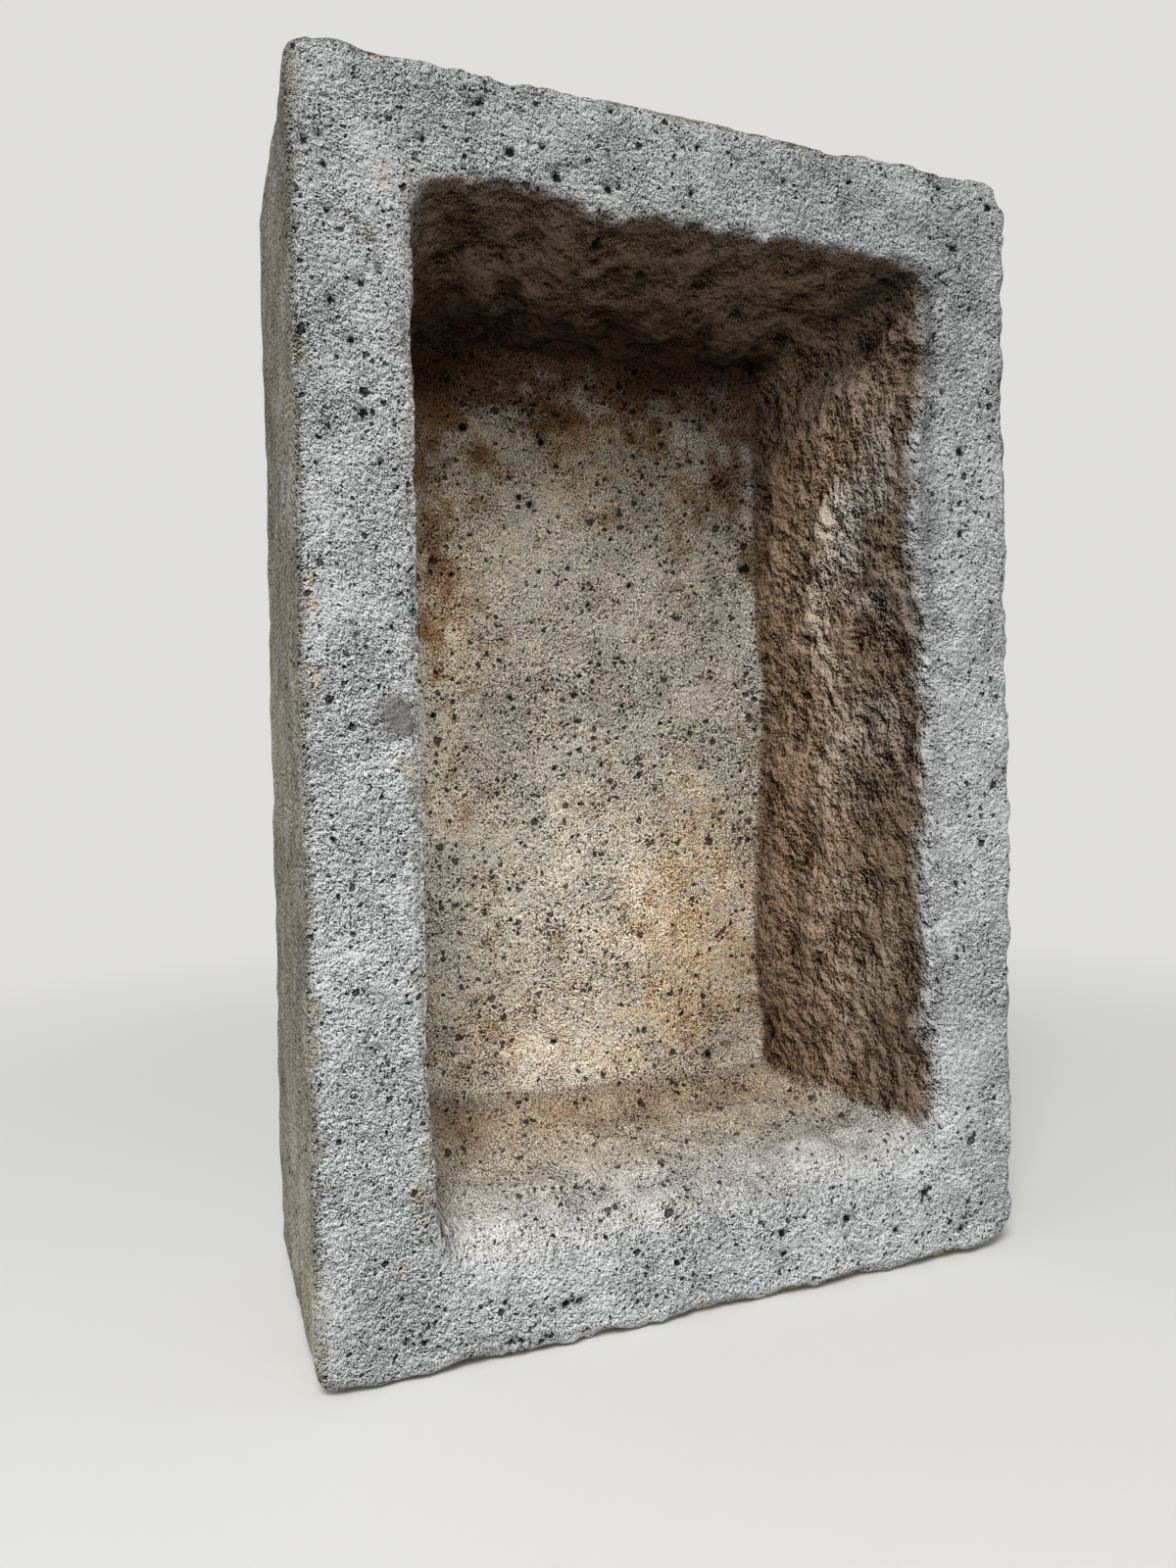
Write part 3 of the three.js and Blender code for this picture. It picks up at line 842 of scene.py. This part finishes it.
lavaStone = {
    # the stone's colour from its valleys to its ridges
    "tones": [
        (-0.3, (0.02, 0.02, 0.02)), (0, (0.12, 0.12, 0.12)), (0.2, (0.27, 0.272, 0.275)),
        (0.45, (0.46, 0.465, 0.472)), (0.72, (0.61, 0.617, 0.628)), (1.15, (0.82, 0.828, 0.84)),
    ],
    # the first two darken the insides of the cavities and of the named pores: painted shade
    "cavityShade": (0.09, 0.088, 0.085),  # each of these is multiplied with the stone's own colour
    "poreShade": (0.05, 0.048, 0.045),
    "olive": (0.66, 0.60, 0.46),  # weathered outside
    "soil": (0.285, 0.17, 0.085),  # soaked-in soil
    # soot, also painted shade under the top wall and in the hollow's corners
    "sootAndShade": (0.30, 0.24, 0.21),
    "tan": (1, 0.80, 0.58),
    "rust": (1, 0.70, 0.38),
    "dust": (1, 0.92, 0.79),  # the warmer grey of the whole hollow
    "smudge": (0.19, 0.178, 0.16),  # dried mud, a colour of its own
    "smudgeShare": 0.8,
    "roughness": 0.95,
    "specular": 0.1,
    # each noise is its cells per metre, layers of detail and how much each layer counts
    "bend": (320, 3, 0.6), "bendReach": 0.0045,
    "patch": (45, 4, 0.6), "patchShare": 0.6,
    "speckle": (2300, 0, 0.5),
    "flecks": (300, 3, 0.6), "fleckRange": (3, -0.5),
    "poreEdge": (420, 2, 0.5), "poreRagged": 1.1,
    # turn in degrees, stretch, and two noises, each with its height in millimetres
    "rimGrain": {"turn": (0, 35, 0), "stretch": (1.25, 1, 1),
                 "noises": [(1.3, (1700, 1, 0.5)), (2.1, (480, 1, 0.5))]},
    "wallGrain": {"turn": (-12, 10, 0), "stretch": (1, 1, 1.15),
                  "noises": [(1.5, (900, 1, 0.5)), (8, (165, 2, 0.5))]},
    # painted relief shading: where the light comes from, seen from the rim and from the walls, and the step
    # towards it in metres; facets that face it are painted paler and those that face away painted darker
    "reliefShading": {"lightFromRim": (-0.4, -0.15, 0.9), "lightFromWalls": (-0.1, -0.75, 0.65), "step": 0.0005,
               "least": 0.55, "patchy": 0.9},
    # cells per metre, smallest and largest radius as a share of a cell, darkness (painted shade inside the
    # cavity) and depth in millimetres
    "cavities": [
        (950, -0.06, 0.46, 0.7, 0.35), (480, -0.12, 0.40, 0.9, 0.8), (230, -0.20, 0.33, 0.95, 1.4),
        (120, -0.38, 0.25, 0.9, 2.4),
    ],
    "crowd": {"within": 0.045, "patchy": -0.6},  # added to the radii in the hollow and in patches
    "cavityShareOnWalls": 0.6,
    "valley": {"rim": 0.28, "walls": 0.95},  # how much darker the valleys of the relief are painted: partly soil in the crevices, partly painted shade
    "poreCut": {"from": (0.45, 1.2), "depth": 3, "dark": (0.75, 0.98)},
    "soak": {"tone": -0.6, "stain": 1.35, "base": 0.15, "from": (0, 0.3)},
}


def mixColours(tree, share, first, second, blend):
    # The first colour where share is 0, and the blend of both where it is 1
    node = addNode(tree, "Mix", data_type="RGBA", blend_type=blend)
    for index, value in ((0, share), (6, first), (7, second)):
        if isinstance(value, bpy.types.NodeSocket):
            tree.links.new(value, node.inputs[index])
        else:
            node.inputs[index].default_value = (*value, 1) if isinstance(value, tuple) else value
    return node.outputs[2]


def tinted(tree, share, colour, tint):
    # The colour times the tint where share is 1, and unchanged where it is 0
    return mixColours(tree, share, colour, mixColours(tree, 1.0, colour, tint, "MULTIPLY"), "MIX")


def toneRamp(tree, value, stops):
    # The value is first stretched so that the stops run from 0 to 1
    lowest, highest = stops[0][0], stops[-1][0]
    share = addNode(tree, "MapRange", {0: value, 1: lowest, 2: highest}).outputs[0]
    ramp = addNode(tree, "ValToRGB", {0: share})
    places = ramp.color_ramp.elements
    while len(places) < len(stops):
        places.new(0.5)
    for place, (position, colour) in zip(places, stops):
        place.position = (position - lowest) / (highest - lowest)
        place.color = (*colour, 1)
    return ramp.outputs[0]


def vesicleGroup():
    # Round cavities, one to a cell, whose random colour sets its radius between Smallest and Largest. The
    # mask eases from 0 at the radius to 1 at three quarters of it.
    group = bpy.data.node_groups.new("vesicles", "ShaderNodeTree")
    for name, kind in (("Vector", "Vector"), ("Scale", "Float"), ("Smallest", "Float"), ("Largest", "Float")):
        group.interface.new_socket(name=name, in_out="INPUT", socket_type="NodeSocket" + kind)
    group.interface.new_socket(name="Mask", in_out="OUTPUT", socket_type="NodeSocketFloat")
    entry = group.nodes.new("NodeGroupInput").outputs
    cells = addNode(group, "TexVoronoi", {"Vector": entry["Vector"], "Scale": entry["Scale"]}).outputs
    chance = addNode(group, "SeparateColor", {0: cells["Color"]}).outputs[0]
    radius = addNode(group, "MapRange", {
        0: chance, 1: 0.0, 2: 1.0, 3: entry["Smallest"], 4: entry["Largest"]}).outputs[0]
    radius = mathNode(group, "MAXIMUM", radius, 0.001)  # below that the cell stays whole
    inner = mathNode(group, "MULTIPLY", radius, 0.75)
    mask = easeNode(group, cells["Distance"], radius, inner)
    group.links.new(mask, group.nodes.new("NodeGroupOutput").inputs[0])
    return group


def noiseNode(tree, vector, facts):
    # Noise from 0 to 1, or a colour of three such noises
    scale, detail, roughness = facts
    return addNode(tree, "TexNoise", {
        "Vector": vector, "Scale": scale, "Detail": detail, "Roughness": roughness}).outputs


def lavaMaterial(facts, maskNames):
    # Colour = tone ramp * paleness, tinted by weather, dust, soil, tan, rust, soot with painted shade, and
    # painted shade in the cavities and pores in turn
    paint = bpy.data.materials.new("lavaStone")
    paint.use_nodes = True
    tree = paint.node_tree
    tree.nodes.clear()
    place = addNode(tree, "TexCoord").outputs["Object"]
    masks = {name: addNode(tree, "Attribute", attribute_name=name).outputs["Fac"] for name in maskNames}
    vesicles = vesicleGroup()

    calc = functools.partial(mathNode, tree)

    def vector(operation, inputs):
        # The operation that is named, on whole vectors
        return addNode(tree, "VectorMath", inputs, operation=operation).outputs[0]

    def onWalls(first, second):
        # The first value off the walls and the second on them
        return addNode(tree, "Mix", {0: masks["upright"], 2: first, 3: second}).outputs[0]

    def grainAt(spot, grain):
        # The spot is turned by the angles and divided by the stretch; each noise times its height is added up
        angles = [math.radians(angle) for angle in grain["turn"]]
        slanted = addNode(tree, "Mapping", {
            "Vector": spot, "Rotation": angles, "Scale": grain["stretch"]}, vector_type="TEXTURE").outputs[0]
        level = 0.0
        for height, noise in grain["noises"]:
            level = calc("MULTIPLY_ADD", noiseNode(tree, slanted, noise)[0], height, level)
        return level

    def heightAt(spot):
        # In millimetres: the grain, less the depth of each cavity, and how dark the deepest cavity is painted,
        # as shade inside it. The cavities' places are bent, so that no row of cells shows.
        bent = vector("ADD", {0: spot, 1: bend})
        height = onWalls(grainAt(spot, facts["rimGrain"]), grainAt(spot, facts["wallGrain"]))
        dark = 0.0
        for scale, smallest, largest, darkness, depth in facts["cavities"]:
            mask = addNode(tree, "Group", {
                "Vector": bent, "Scale": scale, "Smallest": calc("ADD", crowd, smallest),
                "Largest": calc("ADD", crowd, largest)}, node_tree=vesicles).outputs[0]
            mask = calc("MULTIPLY", mask, onWalls(1.0, facts["cavityShareOnWalls"]))
            dark = calc("MAXIMUM", calc("MULTIPLY", mask, darkness), dark)
            height = calc("MULTIPLY_ADD", mask, -depth, height)
        return height, dark

    # cavities crowd together in some patches, and the hollow has more of them than the rim
    bend = vector("SUBTRACT", {0: noiseNode(tree, place, facts["bend"])["Color"], 1: (0.5, 0.5, 0.5)})
    bend = vector("SCALE", {0: bend, "Scale": facts["bendReach"]})
    patchy = noiseNode(tree, place, facts["patch"])[0]
    crowd = calc("MULTIPLY", masks["within"], facts["crowd"]["within"])
    crowd = calc("MULTIPLY_ADD", calc("SUBTRACT", patchy, 0.5), facts["crowd"]["patchy"], crowd)

    # painted light and shade on the relief: the height here less that one step nearer to a fixed light, so
    # facets that face it are painted paler and those that face away darker
    reliefShading = facts["reliefShading"]
    facing = addNode(tree, "TexCoord").outputs["Normal"]
    towards = addNode(tree, "Mix", {
        0: masks["upright"], 4: reliefShading["lightFromRim"], 5: reliefShading["lightFromWalls"]}, data_type="VECTOR").outputs[1]
    along = vector("SUBTRACT", {0: towards, 1: vector("PROJECT", {0: towards, 1: facing})})
    height, dark = heightAt(place)
    nearer, _ = heightAt(vector("MULTIPLY_ADD", {0: along, 1: [reliefShading["step"]] * 3, 2: place}))
    paintedReliefLight = calc("MULTIPLY", calc("SUBTRACT", height, nearer),
                 calc("MULTIPLY_ADD", patchy, reliefShading["patchy"], reliefShading["least"]))

    # tone runs from 0 on the darkest facets to 1 on the palest: the painted relief shading, patches, speckle
    # and valleys added up
    patchShare = facts["patchShare"]
    speckled = calc("SUBTRACT", noiseNode(tree, place, facts["speckle"])[0], 0.5)
    valleySoilAndShade = onWalls(-facts["valley"]["rim"], -facts["valley"]["walls"])
    tone = calc("MULTIPLY", paintedReliefLight, masks["reliefShading"])
    tone = calc("ADD", tone, calc("MULTIPLY_ADD", patchy, patchShare, -patchShare / 2))
    tone = calc("MULTIPLY_ADD", speckled, masks["speckle"], tone)
    tone = calc("ADD", tone, calc("MULTIPLY_ADD", masks["valley"], valleySoilAndShade, 0.5))

    # the named pores, with an edge that noise breaks up; their insides are painted dark as shade
    poreCut = facts["poreCut"]
    poreEdge = noiseNode(tree, place, facts["poreEdge"])[0]
    poreEdge = calc("MULTIPLY_ADD", poreEdge, facts["poreRagged"], masks["pore"])
    height = calc("MULTIPLY_ADD", easeNode(tree, poreEdge, *poreCut["from"]), -poreCut["depth"], height)

    # soil fills the valleys first: stain and tone, each times its own factor, added to a base
    soil = facts["soak"]
    lowest, highest = facts["tones"][0][0], facts["tones"][-1][0]
    held = addNode(tree, "Clamp", {0: tone, 1: lowest, 2: highest}).outputs[0]
    soak = calc("MULTIPLY_ADD", held, soil["tone"],
                calc("MULTIPLY_ADD", masks["stain"], soil["stain"], soil["base"]))
    soak = addNode(tree, "Clamp", {0: soak}).outputs[0]
    soak = calc("MULTIPLY", soak, easeNode(tree, masks["stain"], *soil["from"]))
    # tan lies in flecks: 3 * noise - 0.5 is 1 on average
    flecks = calc("MULTIPLY_ADD", noiseNode(tree, place, facts["flecks"])[0], *facts["fleckRange"])

    colour = toneRamp(tree, tone, facts["tones"])
    colour = vector("SCALE", {0: colour, "Scale": masks["pale"]})
    tints = {
        "olive": masks["weather"], "dust": masks["within"], "soil": soak,
        "tan": calc("MULTIPLY", masks["tan"], flecks), "rust": masks["rust"], "sootAndShade": masks["sootAndShade"],
        "cavityShade": dark, "poreShade": easeNode(tree, poreEdge, *poreCut["dark"]),
    }
    for name, share in tints.items():
        colour = tinted(tree, share, colour, facts[name])
    smudgeShare = calc("MULTIPLY", masks["smudge"], facts["smudgeShare"])
    colour = mixColours(tree, smudgeShare, colour, facts["smudge"], "MIX")

    bump = addNode(tree, "Bump", {"Height": height, "Strength": 1.0, "Distance": mm}).outputs[0]
    shader = addNode(tree, "BsdfPrincipled", {
        "Base Color": colour, "Normal": bump, "Roughness": facts["roughness"],
        "Specular IOR Level": facts["specular"]}).outputs[0]
    tree.links.new(shader, addNode(tree, "OutputMaterial").inputs["Surface"])
    return paint


stone = addStone("hewnStone", carved, quads, triangles, masks)
stone.data.materials.append(lavaMaterial(lavaStone, list(masks)))
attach(stone, "root")
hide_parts("stone_trough")
print("stone placed")
